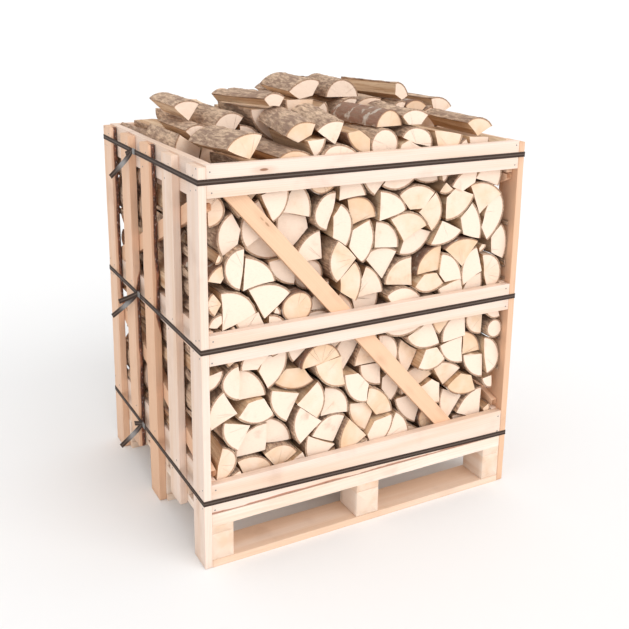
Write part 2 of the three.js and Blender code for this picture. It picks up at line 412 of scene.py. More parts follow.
def firewood(settings):
    """A split log. Attribute grain is the place from the pith, with Y along the log.
    Attribute trait is the log's radius under the bark, its tone and its sawn end."""
    make = Finish("firewood")
    grain = make.attribute("grain")
    radius, tone, end = make.parts(make.attribute("trait"))
    x, along, z = make.parts(grain)
    reach = (x * x + z * z).power(0.5)
    depth = radius - reach
    fleck = make.noise(make.stretch(grain, (260, 70, 260)), detail=3)
    bark = 1 - make.ramp(depth + (fleck - 0.5) * 0.002, settings.bark * 0.8, settings.bark)
    rind = 1 - make.ramp(depth + (fleck - 0.5) * 0.003, settings.bark * 1.2, settings.bark * 2.0)

    # sawn end: pale wood with faint rings, rays, short cracks and stains
    wobble = make.noise(grain, 22.0, detail=2)
    rings = ((reach + wobble * 0.006) * 2300).sine() * 0.5 + 0.5
    direction = make.vector(x / reach.most(0.001), tone * 40, z / reach.most(0.001))
    rays = make.noise(make.stretch(direction, (16, 1, 16)), detail=3, roughness=0.7)
    crack = make.ramp(rays, 0.655, 0.70) * (1 - make.ramp(reach, 0.02, 0.075))
    saw = make.noise(make.stretch(grain, (90, 30, 420)), detail=2)
    blotch = make.noise(make.stretch(make.vector(x, tone * 9, z), (18, 1, 18)), detail=4)
    old = make.ramp(tone + (blotch - 0.5) * 0.9, 0.5, 1.15)
    sawn = make.mix(old, settings.end_pale, settings.end_warm)
    sawn = make.mix(rings * 0.10 + make.ramp(saw, 0.5, 0.8) * 0.12, sawn, settings.split_warm)
    sawn = make.mix(make.ramp(blotch, 0.62, 0.82) * 0.35, sawn, settings.inner_bark)
    sawn = make.mix(crack * 0.6, sawn, settings.split_warm)

    # split face: long fibres, darker heart, some loose splinters
    own = make.vector(x, along * 0.06 + tone * 7, z)
    fibre = make.noise(make.stretch(own, (330, 330, 330)), detail=4, roughness=0.65)
    band = make.noise(make.stretch(own, (58, 58, 58)), detail=3)
    split_mix = make.ramp(band + (tone - 0.5) * 0.3, 0.38, 0.74)
    split = make.mix(split_mix, settings.split_pale, settings.split_warm)
    split = make.mix(make.ramp(fibre, 0.46, 0.74) * 0.55, split, settings.inner_bark)

    # bark: dark furrows between lighter plates, red and white where it is young
    warp = make.noise(grain, 30.0, detail=2)
    around = make.vector(x + (warp - 0.5) * 0.014, along * 0.24 + (warp - 0.5) * 0.012, z)
    plate = make.noise(make.stretch(around, (125, 125, 125)), detail=5, roughness=0.55)
    cloud = make.noise(make.vector(x * 14, along * 9 + tone * 30, z * 14), detail=2)
    lichen = make.ramp(make.noise(grain, 160.0, detail=4, roughness=0.7), 0.58, 0.7)
    ridge = make.ramp(plate + (cloud - 0.5) * 0.35, 0.34, 0.72)
    young = make.ramp(tone, 0.90, 0.93)
    bark_colour = make.mix(ridge, settings.bark_dark, settings.bark_light)
    reddish = make.mix(ridge, settings.bark_dark, settings.bark_red)
    bark_colour = make.mix(young * 0.8, bark_colour, reddish)
    patch = make.ramp(make.noise(make.stretch(grain, (24, 50, 24)), detail=5), 0.56, 0.64)
    bark_colour = make.mix(young * patch * 0.8 + lichen * 0.25, bark_colour, settings.bark_white)

    wood = make.mix(end, split, sawn)
    wood = make.mix(rind * 0.75, wood, settings.inner_bark)
    colour_all = make.mix(bark, wood, bark_colour)
    rough = 0.62 + bark * 0.22 + fibre * 0.1
    wood_height = make.ramp(end, 0.4, 0.6) * (saw * 0.5 - crack * 2.0) + (1 - end) * fibre * 1.4
    height = wood_height * (1 - bark) + bark * (plate * 3.2 + fleck * 0.8) - rind * (1 - bark) * 0.5
    return make.surface(
        height, 0.0012, Base_Color=colour_all, Roughness=rough, Specular_IOR_Level=0.25
    )


def strap_plastic(settings):
    """Embossed polypropylene. Attribute grain is the place along and across the band, and the painted sheen
    on the free ends.
    """
    make = Finish("strap_plastic")
    along, across, painted_sheen = make.parts(make.attribute("grain"))
    half = settings.width / 2
    side = across.size() / half
    middle = 1 - make.ramp(side, 0.12, 0.3)
    emboss = ((along + across * 0.8) * 2200).sine() * ((along - across * 0.8) * 2200).sine()
    wear = make.noise(make.vector(along * 30, across * 400, 0.0), detail=3)
    tint = make.mix(middle * 0.7 + make.ramp(wear, 0.55, 0.8) * 0.12, settings.band, settings.shine)
    # painted highlight: the middle of the longer free ends is painted lighter grey, in place of their
    # glossy sheen
    tint = make.mix(painted_sheen * (0.55 + wear * 0.6), tint, settings.painted_sheen)
    rough = 0.62 - middle * 0.1 + wear * 0.15
    height = emboss * (1 - middle) * 0.5 + middle
    return make.surface(height, 0.0003, Base_Color=tint, Roughness=rough, Specular_IOR_Level=0.14)


def worn_steel(settings):
    """Crimped seals and nail heads."""
    make = Finish("worn_steel")
    place = make.node("TexCoord", output="Object")
    scratch = make.noise(make.stretch(place, (900, 200, 900)), detail=3)
    dull = make.noise(place, 260.0, detail=4)
    tint = make.mix(make.ramp(dull, 0.5, 0.75) * 0.5, settings.steel, settings.rust)
    rough = 0.3 + scratch * 0.25
    return make.surface(scratch, 0.0002, Base_Color=tint, Roughness=rough, Metallic=0.9)


def floor_paint(settings):
    """The matt floor, with faint clouds."""
    make = Finish("floor_paint")
    place = make.node("TexCoord", output="Object")
    cloud = make.noise(place, 0.6, detail=2)
    shade = make.mix(cloud * 0.02, settings.floor, settings.floor_cloud)
    return make.surface(Base_Color=shade, Roughness=0.9, Specular_IOR_Level=0.1)


# Boards


def unit(vector):
    """A vector brought to length one."""
    return vector / np.linalg.norm(vector)


def board_axes(node):
    """Unit vectors along, across and through a CAD board, found from the areas of its faces."""
    sums = {}
    for face in node.data.polygons:
        normal = np.array(face.normal)
        key = tuple(np.round(normal * np.sign(normal[np.abs(normal).argmax()]), 3) + 0.0)
        sums[key] = sums.get(key, 0) + face.area
    through, across = (unit(np.array(key)) for key in sorted(sums, key=sums.get)[-1:-3:-1])
    along = np.cross(across, through)
    return along * np.sign(along[np.abs(along).argmax()]), across, through


def slab(origin, direction, low, high):
    """How far a line runs each way before it leaves a box, as two arrays."""
    with np.errstate(divide="ignore", invalid="ignore"):
        a, b = (low - origin) / direction, (high - origin) / direction
    flat = np.abs(direction) < 1e-6
    near = np.where(flat, -np.inf, np.minimum(a, b)).max(-1)
    far = np.where(flat, np.inf, np.maximum(a, b)).min(-1)
    return near, far


CORNER_STEPS = 4
BOARD_STEP = 0.03
DRIFT_LUMPS = 6  # along a board, per metre
WANE_LUMPS = 14  # along a wane, per metre
WANE_FADE = 25  # a wane comes in over 1 / 25 of the board's length
FULL_WANE = 0.007  # the depth from which a wane's bark is at its strongest


def board_size(node, across, through):
    """Half the width and half the thickness of a CAD board, and where its middle lies."""
    points = np.array([v.co for v in node.data.vertices], float)
    spans = [points @ axis for axis in (across, through)]
    low, high = (np.array([end(span) for span in spans]) for end in (np.min, np.max))
    return (high - low) / 2, (high + low) / 2


def worn_edge(corner, wanes, shares, reach, half, edge, seed):
    """One long edge of a board at each share of its length: how far it is cut away across and through,
    its bark, and whether the bark takes the whole narrow face."""
    fillet = np.full((len(shares), 2), edge)
    bark = np.zeros(len(shares))
    whole = False
    for across, through, start, end, depth in wanes:
        if across != corner[0] or through not in (0, corner[1]):
            continue
        whole = through == 0
        lumps = noise(np.stack([shares * reach * WANE_LUMPS, shares * 0, shares * 0], -1), seed)
        coming, going = (np.clip(run * WANE_FADE, 0, 1) for run in (shares - start, end - shares))
        amount = coming * going
        bark = np.clip(amount * 1.6 * (0.75 + 0.5 * lumps), 0, 1) * min(1, depth / FULL_WANE)
        fillet[:, 0] += amount * depth * (0.8 + 0.5 * lumps)
        fillet[:, 1] += amount * min(half[1] * 0.96, depth * 1.3) * (0.8 + 0.25 * lumps)
    return np.minimum(fillet, half * 0.98), bark, whole


def board_outline(wanes, shares, reach, half, edge, seed):
    """The outline of a board at each share of its length, and the bark at each of its points."""
    outline, barks = [], []

    def point(place, bark):
        outline.append(place)
        barks.append(bark)

    for turn, corner in enumerate(CORNERS):
        fillet, bark, whole = worn_edge(corner, wanes, shares, reach, half, edge, seed + turn)
        lap = 0.0014 + np.minimum(fillet[:, 1], 0.004) * (bark > 0)
        for step in np.linspace(0, 1, CORNER_STEPS + 1):
            phi = (turn + step) * math.pi / 2
            spot = (half - fillet) * corner + fillet * (math.cos(phi), math.sin(phi))
            tangent = np.array([-math.sin(phi), math.cos(phi)]) * lap[:, None]
            if step == 0:
                point(spot - tangent, bark * (whole and turn in (0, 2)))
            point(spot, bark)
            if step == 1:
                point(spot + tangent, bark * (whole and turn in (1, 3)))
        if turn in (0, 2):
            for place in (0.4, -0.4):
                on_face = np.array([place * half[0] * corner[0], half[1] * corner[1]])
                point(np.broadcast_to(on_face, fillet.shape), bark * 0)
    return np.stack(outline, 1), np.stack(barks, 1)


def add_board(body, node, settings, wanes=(), tone=None):
    """Adds a sawn board in the place of a CAD board. A wane is (across, through, start, end, depth):
    the signs of the long edge it runs along (through is 0 for the whole narrow face), the share of the
    length it takes, and its depth."""
    low, high = (np.array(v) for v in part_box(node.name))
    along, across, through = board_axes(node)
    middle = (low + high) / 2
    if through @ middle < 0:
        through = -through
    half, centre = board_size(node, across, through)
    number = sum(ord(letter) * (i + 1) for i, letter in enumerate(node.name))
    rng = np.random.default_rng(number)
    reach = (high - low).max()
    rings = max(6, round(reach / BOARD_STEP))
    shares = np.concatenate([[0, 0], np.linspace(0, 1, rings)[1:-1], [1, 1]])
    inset = np.zeros(len(shares))
    inset[[0, -1]] = settings.edge
    drift_at = np.stack([shares * reach * DRIFT_LUMPS, shares * 0, shares * 0 + number], -1)
    drift = noise(drift_at, number) * settings.wander * 0.5
    outline, bark = board_outline(wanes, shares, reach, half, settings.edge, number)
    outline *= 1 - inset[:, None, None] / half
    outline -= drift[:, None, None] * np.sign(outline)
    flat = outline + centre
    base = flat[..., :1] * across + flat[..., 1:] * through + along * (middle @ along)
    near, far = slab(base, along, low - 1e-5, high + 1e-5)
    run = near + shares[:, None] * (far - near)
    spare = (settings.edge - inset)[:, None]
    run = np.clip(run, near + spare, far - spare)
    points = base + run[..., None] * along
    rough = noise(points * 90, number)[..., None]
    points = points + (through * outline[..., 1:] / half[1]) * rough * -0.0003
    grain = np.stack([run + number * 0.37, outline[..., 0], outline[..., 1] + number * 0.013 % 1], -1)
    tone = rng.uniform(0, 0.7) if tone is None else tone
    ends = np.broadcast_to((inset > 0)[:, None] * 1.0, run.shape)
    trait = np.stack([run * 0 + tone, bark, ends], -1).reshape(-1, 3)
    caps = [[tone, 0, 1]] * 2
    faces = tube_faces(len(shares), outline.shape[1])
    body.add(tube(points), faces, grain=tube(grain), trait=np.concatenate([trait, caps]))


def make_board(name, material, settings, wanes=(), tone=None):
    """One board as a piece of its own, in the place of its CAD node."""
    body = Body()
    add_board(body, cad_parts[name], settings, wanes, tone)
    piece = body.make(name + "_sawn", material, smooth=50)
    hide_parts(name)


# Logs


# How often each kind of split log comes
KINDS = {"wedge": 0.5, "blunt": 0.28, "half": 0.17, "round": 0.05}


def split_section(area, step, rng):
    """The outline of a split log round its pith, with the bark's radius and whether it is bark at each
    point. It is a wedge, a blunt wedge without its tip, a half or a round."""
    kind = list(KINDS)[rng.choice(len(KINDS), p=list(KINDS.values()))]
    openings = {"wedge": rng.triangular(56, 82, 112), "blunt": rng.triangular(60, 80, 100)}
    openings |= {"half": 170, "round": 360}
    opening = math.radians(openings[kind])
    radius = math.sqrt(2 * area / opening) * (1.04 if kind == "blunt" else 1)
    count = max(6, round(opening * radius / step))
    phis = np.linspace(-opening / 2, opening / 2, count + 1)[: -1 if kind == "round" else None]
    lumps = rng.uniform(0.006, 0.03, 2)
    starts = rng.uniform(0, 2 * math.pi, 2)
    radii = radius * (1 + lumps[0] * np.sin(2 * phis + starts[0]) + lumps[1] * np.sin(3 * phis + starts[1]))
    arc = np.stack([np.cos(phis), np.sin(phis)], -1) * radii[:, None]
    if kind == "round":
        return arc, radii, np.ones(len(arc), bool)
    tip = rng.uniform(0.26, 0.46) if kind == "blunt" else rng.uniform(0, 0.05)
    slant = rng.uniform(0.8, 1.2, 2)
    corners = [arc[-1], arc[-1] * tip * slant[0], arc[0] * tip * slant[1], arc[0]]
    if kind != "blunt":
        corners = [arc[-1], arc.mean(0) * tip, arc[0]]
    inner = [arc]
    for here, there in zip(corners[:-1], corners[1:]):
        side = there - here
        t = np.linspace(0, 1, max(3, round(np.linalg.norm(side) / step) + 1))[:-1, None]
        bow = np.array([side[1], -side[0]]) * rng.normal(0, 0.018) * np.sin(t * math.pi)
        inner.append((here + side * t + bow)[1 if here is corners[0] else 0 :])
    section = np.concatenate(inner)
    bark = np.arange(len(section)) < len(arc)
    radii = np.concatenate([radii, np.full(len(section) - len(arc), radius)])
    return section, radii, bark


def slab_section(height, step):
    """The outline of a thin slab with a bark back, in the same form."""
    half_angle = 0.75
    radius = height / (2 * math.sin(half_angle))
    phis = np.linspace(-half_angle, half_angle, max(4, round(height / step)))
    arc = np.stack([np.cos(phis), np.sin(phis)], -1) * radius
    flat = np.linspace(arc[-1], arc[0], max(3, round(height / step)))[1:-1]
    section = np.concatenate([arc, flat])
    return section, np.full(len(section), radius), np.arange(len(section)) < len(arc)


def turned(section, angle):
    """An outline turned about its pith."""
    c, s = math.cos(angle), math.sin(angle)
    return section @ np.array([[c, s], [-s, c]])


def profile(section, step):
    """The lowest and highest points of a section at even steps across it."""
    low, high = section[:, 0].min(), section[:, 0].max()
    count = math.ceil((high - low) / step) + 1
    xs = np.linspace(low, high, count)
    xs[0], xs[-1] = low + 1e-5, high - 1e-5
    a, b = section, np.roll(section, -1, 0)
    with np.errstate(divide="ignore", invalid="ignore"):
        share = (xs[:, None] - a[:, 0]) / (b[:, 0] - a[:, 0])
    on = (share >= 0) & (share <= 1)
    z = a[:, 1] + share * (b[:, 1] - a[:, 1])
    return xs, np.where(on, z, np.inf).min(1), np.where(on, z, -np.inf).max(1)


def closed_over(heights, width):
    """The heights with every gap narrower than a width bridged over."""
    padded = np.pad(heights, width, constant_values=9)
    high = np.lib.stride_tricks.sliding_window_view(padded, width + 1).max(1)
    return np.lib.stride_tricks.sliding_window_view(high, width + 1).min(1)


STACK_STEP = 0.0025  # between the heights that stand for the stack's top
TRIES = 120  # outlines tried for each log
KEPT = 16  # the best of them, which are then tried against the rails
NARROW = 13  # steps across the widest gap that counts as closed over
# How much each fault of a place counts
WASTE, HIGH_UP, TALL, CLOSED_OVER = 1.3, 0.42, 0.16, 0.9


def stack_row(floor, goal, blocks, half, area, outline_step, rng):
    """Stacks split logs on a floor up to a goal line, each one where it wastes the least room.
    Returns the logs as (outline, radii, bark, x, z), and the heights of the stack's top."""
    xs = np.arange(-half[1], half[1] + STACK_STEP / 2, STACK_STEP)
    heights = np.full(len(xs), floor)
    line = goal(xs)
    beside = np.abs(xs) > half[0]
    logs = []
    misses = 0
    while misses < 4:
        for low, high in blocks:
            heights[beside & (heights > low - 0.03) & (heights < high)] = high
        found = []
        for _ in range(TRIES):
            size = area * rng.uniform(0.6, 1.55) * (1 - 0.16 * misses)
            section, radii, bark = split_section(size, outline_step, rng)
            section = turned(section, rng.uniform(0, 2 * math.pi))
            _, under, over = profile(section, STACK_STEP)
            windows = np.lib.stride_tricks.sliding_window_view(heights, len(under))
            z = (windows - under).max(1)
            waste = (z[:, None] + under - windows).sum(1) * STACK_STEP / size
            top = z + over.max()
            high_up = (z + (under.mean() + over.mean()) / 2 - heights.min()) / 0.1
            tall = (over.max() - under.min()) / (len(under) * STACK_STEP)
            score = waste * WASTE + high_up * HIGH_UP + tall * TALL
            score[top > line[: len(z)] + 0.004] = np.inf
            k = int(np.argmin(score))
            if score[k] < np.inf:
                found.append((score[k], k, z[k], section, radii, bark, under, over, size))
        found.sort(key=lambda entry: entry[0])
        best = None
        for score, k, z, section, radii, bark, under, over, size in found[:KEPT]:
            spread = slice(k, k + len(under))
            side = beside[spread]
            if any((side & (over + z > low) & (under + z < high)).any() for low, high in blocks):
                continue
            after = heights.copy()
            after[spread] = z + over
            score += (closed_over(after, NARROW) - after).sum() * STACK_STEP / size * CLOSED_OVER
            if best is None or score < best[0]:
                x = xs[k] - section[:, 0].min()
                best = (score, after, (section, radii, bark, x, z + 0.0006))
        if best is None:
            misses += 1
            continue
        heights = best[1]
        logs.append(best[2])
    packing = Packing(logs, floor, goal, half, blocks)
    packing.push_out()
    packing.grow(rng)
    packing.fill(rng)
    packing.line_walls()
    heights = np.full(len(xs), floor)
    for section, _, _, x, z in logs:
        us, _, over = profile(section, STACK_STEP)
        reach = np.interp(xs, us + x, over + z, left=0, right=0)
        heights = np.maximum(heights, reach)
    return logs, xs, heights


PACK_CELL = 0.002
GROWTHS = (1.09, 1.05, 1.04, 1.03, 1.03, 1.02, 1.02, 1.02)
NUDGES = 6  # turned and moved places that each log tries to grow into
FILLERS = np.linspace(0.0019, 0.0003, 1100)  # ends of the thin pieces tried in the gaps, in square metres
SLABS = 0.009, 0.08  # the lowest and highest slab


class Packing:
    """A row's logs on a grid of cells. Each cell holds the number of the log in it, 0 where it is free
    and -1 behind the rails."""

    def __init__(self, logs, floor, goal, half, blocks):
        self.logs, self.floor, self.goal, self.half = logs, floor, goal, half
        self.ceiling = goal(np.linspace(-half[1], half[1], 60)).max() + 0.01
        self.rim = max(high for _, high in blocks)
        self.corner = np.array([-half[1], floor])
        spans = np.array([2 * half[1], self.ceiling - floor])
        self.taken = np.zeros(np.ceil(spans / PACK_CELL).astype(int), np.int32)
        across, up = ((np.arange(count) + 0.5) * PACK_CELL for count in self.taken.shape)
        across, self.levels = self.corner[0] + across, self.corner[1] + up
        for low, high in blocks:
            between = (self.levels > low) & (self.levels < high)
            self.taken[np.ix_(np.abs(across) > half[0], between)] = -1
        for number, (section, _, _, x, z) in enumerate(logs, 1):
            self.taken[self.cells(section + (x, z))] = number

    def cells(self, outline):
        """The cells whose middles lie in an outline, as two index arrays."""
        low = np.maximum(np.floor((outline.min(0) - self.corner) / PACK_CELL).astype(int), 0)
        high = np.ceil((outline.max(0) - self.corner) / PACK_CELL).astype(int) + 1
        high = np.minimum(high, self.taken.shape)
        i, j = np.meshgrid(np.arange(low[0], high[0]), np.arange(low[1], high[1]), indexing="ij")
        px, pz = self.corner[0] + (i + 0.5) * PACK_CELL, self.corner[1] + (j + 0.5) * PACK_CELL
        inside = np.zeros(i.shape, bool)
        for (ax, az), (bx, bz) in zip(outline, np.roll(outline, -1, 0)):
            if az != bz:
                crossing = ((az > pz) != (bz > pz)) & (px < ax + (pz - az) / (bz - az) * (bx - ax))
                inside ^= crossing
        return i[inside], j[inside]

    def put(self, k, section, radii, bark, x, z):
        """Puts log k in a place, if no other log is in the way. Says whether it did."""
        cells = self.cells(section + (x, z))
        free = np.isin(self.taken[cells], (0, k + 1)).all()
        if free:
            self.taken[self.taken == k + 1] = 0
            self.taken[cells] = k + 1
            self.logs[k : k + 1] = [(section, radii, bark, x, z)]
        return free

    def push_out(self):
        """Pushes the logs that are beside the walls against them."""
        for k, (section, radii, bark, x, z) in enumerate(self.logs):
            side = math.copysign(1, x)
            outer = (section[:, 0] * side).max() + x * side
            if outer < self.half[0] - 0.025:
                continue
            for push in np.arange(self.half[1] - outer - 0.001, 0, -PACK_CELL):
                if self.put(k, section, radii, bark, x + side * push, z):
                    break

    def grow(self, rng):
        """Grows and nudges each log until it meets its neighbours."""
        for growth in GROWTHS:
            for k in rng.permutation(len(self.logs)):
                section, radii, bark, x, z = self.logs[k]
                middle = section.mean(0)
                for _ in range(NUDGES):
                    wider = turned(section, rng.normal(0, 0.05)) * growth
                    place = (x, z) + middle - wider.mean(0) + rng.normal(0, 0.003, 2)
                    low, high = (wider + place).min(0), (wider + place).max(0)
                    inside = max(-low[0], high[0]) < self.half[1] and low[1] > self.floor
                    if not inside or high[1] > self.ceiling:
                        continue
                    if self.put(k, wider, radii * growth, bark, *place):
                        break

    def fill(self, rng):
        """Puts thin pieces into the gaps, the larger ones first."""
        gaps = np.argwhere(roomy(self.taken == 0, 3))
        for area in FILLERS:
            section, radii, bark = split_section(area, 0.006, rng)
            section = turned(section, rng.uniform(0, 2 * math.pi))
            place = self.corner + (gaps[rng.integers(len(gaps))] + 0.5) * PACK_CELL - section.mean(0)
            outline = section + place
            inside = np.abs(outline[:, 0]).max() < self.half[1]
            if inside and outline[:, 1].max() < self.goal(place[0]) - 0.04:
                self.put(len(self.logs), section, radii, bark, *place)

    def line_walls(self):
        """Puts slabs, bark side out, into the free stretches beside the walls."""
        for side in (-1, 1):
            column = self.taken[int((side * (self.half[0] + 0.004) - self.corner[0]) / PACK_CELL)]
            free = (column == 0) & (self.levels < self.rim - 0.01)
            ends = np.flatnonzero(np.diff(free.astype(int), prepend=0, append=0))
            for start, end in ends.reshape(-1, 2):
                height = min((end - start) * PACK_CELL - 0.003, SLABS[1])
                if height < SLABS[0]:
                    continue
                section, radii, bark = slab_section(height, 0.008)
                section = turned(section, 0 if side > 0 else math.pi)
                z = self.corner[1] + (start + end) / 2 * PACK_CELL
                for outer in np.arange(self.half[1] - 0.001, self.half[0] - 0.008, -PACK_CELL):
                    if self.put(len(self.logs), section, radii, bark, side * (outer - radii[0]), z):
                        break


def roomy(free, reach):
    """The free cells of a grid that are further than a reach from any taken cell."""
    padded = np.pad(free, reach)
    across = np.lib.stride_tricks.sliding_window_view(padded, 2 * reach + 1, 0).all(-1)
    return np.lib.stride_tricks.sliding_window_view(across, 2 * reach + 1, 1).all(-1)


def log_relief(where, bark, furrow, seed):
    """How far a log's surface stands out at points of its plain shape, with furrows where it is bark
    and strands of fibre where it is split."""
    warp = noise(where * (14, 9, 14), seed)
    strands = noise(where * (160, 9, 160), seed + 1) * 0.0006
    strands += noise(where * (45, 5, 45), seed + 3) * 0.0015
    plates = noise((where + warp[..., None] * 0.008) * (120, 26, 120), seed + 2)
    fine = noise(where * (260, 90, 260), seed + 4)
    furrows = (np.abs(plates) ** 0.7 * 1.6 - 0.95 + fine * 0.3) * furrow
    return np.where(bark, furrows - 0.0004, strands - 0.0008) + warp * 0.0012 - 0.0006


SAW_EDGE = 0.0016  # along the log, from its sawn end to where its full outline starts


def add_log(body, log, near_end, log_length, turn, seed, settings, detail):
    """Adds one split log (outline, radii, bark, x, z), with its near end at a given y. turn is its yaw
    and pitch about its middle, and detail the length of a step along it."""
    section, radii, bark, x, z = log
    rng = np.random.default_rng(seed)
    tone = rng.uniform()
    centre = section.mean(0)
    steps = max(3, round(log_length / detail))
    y = np.linspace(SAW_EDGE, log_length - SAW_EDGE, steps + 1)
    y = np.concatenate([[0, 0, 0], y, [log_length] * 3])
    size = np.linalg.norm(section - centre, axis=1).mean()
    scale = np.ones(len(y))
    scale[[0, -1]] = 0.5
    scale[[1, -2]] = 1 - 0.0055 / size
    scale[[2, -3]] = 1 - 0.0011 / size
    full = scale == 1
    edge = np.roll(section, -1, 0) - np.roll(section, 1, 0)
    normal = np.stack([edge[:, 1], -edge[:, 0]], -1)
    normal /= np.maximum(np.linalg.norm(normal, axis=1), 1e-9)[:, None]
    flat = np.broadcast_to(section, (len(y), *section.shape))
    where = np.stack([flat[..., 0], np.broadcast_to(y[:, None], flat.shape[:2]), flat[..., 1]], -1)
    relief = log_relief(where, bark, settings.furrow, seed)
    outline = section + normal * (relief * full[:, None])[..., None]
    share = y / log_length
    taper = 1 + rng.normal(0, 0.012) * (share - 0.5)
    rings = centre + (outline - centre) * (scale * taper)[:, None, None]
    rings = rings + np.sin(share * math.pi)[:, None, None] * rng.normal(0, 0.0014, 2)
    slope = rng.normal(0, 0.04, 2)
    nearness = np.abs(1 - 2 * share) ** 3
    away = ((rings - centre) @ slope) * nearness[:, None]
    grit_at = np.stack([rings[..., 0] * 160, rings[..., 0] * 0 + y[:, None], rings[..., 1] * 160], -1)
    away += noise(grit_at, seed) * 0.0005 * ~full[:, None]
    points = np.stack([rings[..., 0], y[:, None] + away, rings[..., 1]], -1)
    grain = np.where(full[:, None, None], where, points)
    trait = np.stack(np.broadcast_arrays(radii[None], tone, 1.0 * ~full[:, None]), -1).reshape(-1, 3)
    caps = [[radii.mean(), tone, 1]] * 2
    rotation = np.array(Matrix.Rotation(turn[0], 3, "Z") @ Matrix.Rotation(turn[1], 3, "X"))
    pivot = np.array([0, log_length / 2, 0])
    moved = (tube(points) - pivot) @ rotation.T + pivot + (x, near_end, z)
    faces = tube_faces(len(y), len(section))
    body.add(moved, faces, grain=tube(grain), trait=np.concatenate([trait, caps]))


# The middle of the heap's top over each row: its height at the sides, its crown, and the crown's place
HEAP = {
    "front": (1.124, 1.178, 0.02),
    "middle": (1.186, 1.234, 0.06),
    "back": (1.150, 1.202, 0.18),
}
HEAP_WIDTH = 0.24  # of the crown
HEAP_LAYER = 0.052  # how far the tight stacking stops below that line


def heap_line(row, x):
    """The height that a row is heaped to, at each x."""
    side, crown, place = HEAP[row]
    fall = 0.025 * np.clip((np.abs(x) - 0.34) / 0.12, 0, 1)
    return side + (crown - side) * np.exp(-(((x - place) / HEAP_WIDTH) ** 2)) - fall


def rail_blocks(row):
    """The heights at which a row's logs can't reach past the side rails and the side braces."""
    blocks = [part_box("rail_left_" + place) for place in LEVELS]
    blocks = [(low.z - 0.001, high.z + 0.001) for low, high in blocks]
    low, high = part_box("log_row_" + row)
    for name in ("brace_left_upper", "brace_left_lower"):
        brace_low, brace_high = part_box(name)
        shares = [(y - brace_low.y) / (brace_high.y - brace_low.y) for y in (low.y, high.y)]
        if max(shares) > 0 and min(shares) < 1:
            near, far = brace_high.z, brace_low.z
            if name.endswith("lower"):
                near, far = far, near
            ends = [near + (far - near) * min(max(s, 0), 1) for s in shares]
            blocks.append((min(ends) - 0.03, max(ends) + 0.03))
    return blocks


HEAP_CELL = 0.006
PITCHES = np.linspace(-0.13, 0.13, 11)
OFF_LIMITS = 9  # a height that no log can rest on


class Heap:
    """The top of the whole stack as a field of heights, that loose logs come to rest on."""

    def __init__(self):
        low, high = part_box("rail_left_top")
        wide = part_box("rail_front_top")[1].x
        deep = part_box("rail_back_top")
        xs, ys = np.arange(-0.5, 0.5, HEAP_CELL), np.arange(-0.41, 0.41, HEAP_CELL)
        self.x, self.y = np.meshgrid(xs, ys, indexing="ij")
        self.ground = np.full(self.x.shape, high.z + 0.001)
        self.inner = abs(high.x)
        outer = wide - 0.014, deep[1].y - 0.006
        self.goal = np.zeros(self.x.shape)
        for row in ROWS:
            low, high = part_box("log_row_" + row)
            here = (self.y > low.y - 0.03) & (self.y < high.y + 0.03)
            self.goal = np.where(here, heap_line(row, self.x), self.goal)
        outside = (np.abs(self.x) > outer[0]) | (np.abs(self.y) > outer[1])
        self.ground[outside] = OFF_LIMITS

    def cover(self, row, xs, heights):
        """Lays a stacked row into the field."""
        low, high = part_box("log_row_" + row)
        inside = np.abs(self.x) < self.inner
        here = inside & (self.y > low.y - 0.006) & (self.y < high.y + 0.006)
        self.ground = np.where(here, np.interp(self.x, xs, heights), self.ground)

    def rest(self, section, x, y, yaw, log_length):
        """Where a log would come to rest: its height and pitch, the cells it covers, its top over them
        and how far it stands off the heap."""
        us, under, over = profile(section, 0.004)
        c, s = math.cos(yaw), math.sin(yaw)
        u = (self.x - x) * c + (self.y - y) * s
        v = (self.y - y) * c - (self.x - x) * s
        on = (u > us[0]) & (u < us[-1]) & (np.abs(v) < log_length / 2)
        u, v, ground = u[on], v[on], self.ground[on]
        if not len(u):
            return None
        low, high = np.interp(u, us, under), np.interp(u, us, over)
        rests = []
        for pitch in PITCHES:
            z = (ground - low - v * pitch).max()
            rests.append(((low + z + v * pitch - ground).mean() + abs(pitch) * 0.02, pitch, z))
        stand, pitch, z = min(rests)
        return z, pitch, on, high + z + v * pitch, stand

    def settle(self, on, top):
        """Adds a log that has come to rest."""
        self.ground[on] = np.maximum(self.ground[on], top)


STACK_LENGTHS = 0.226, 0.242
HALF_LOG = 0.118
LEAN = 0.075  # the furthest that a log beside a back corner turns outward, in radians
BRACE_REACH = 0.026  # from a brace's middle line to where log ends may reach past it
HEAP_LOGS = 60
HEAP_TRIES = 130  # logs tried for each one that is laid
POOR_FIT = 0.075  # the heap is full when nothing fits better than this
TOP_YAWS = {"front": 6, "middle": -9, "back": 12}


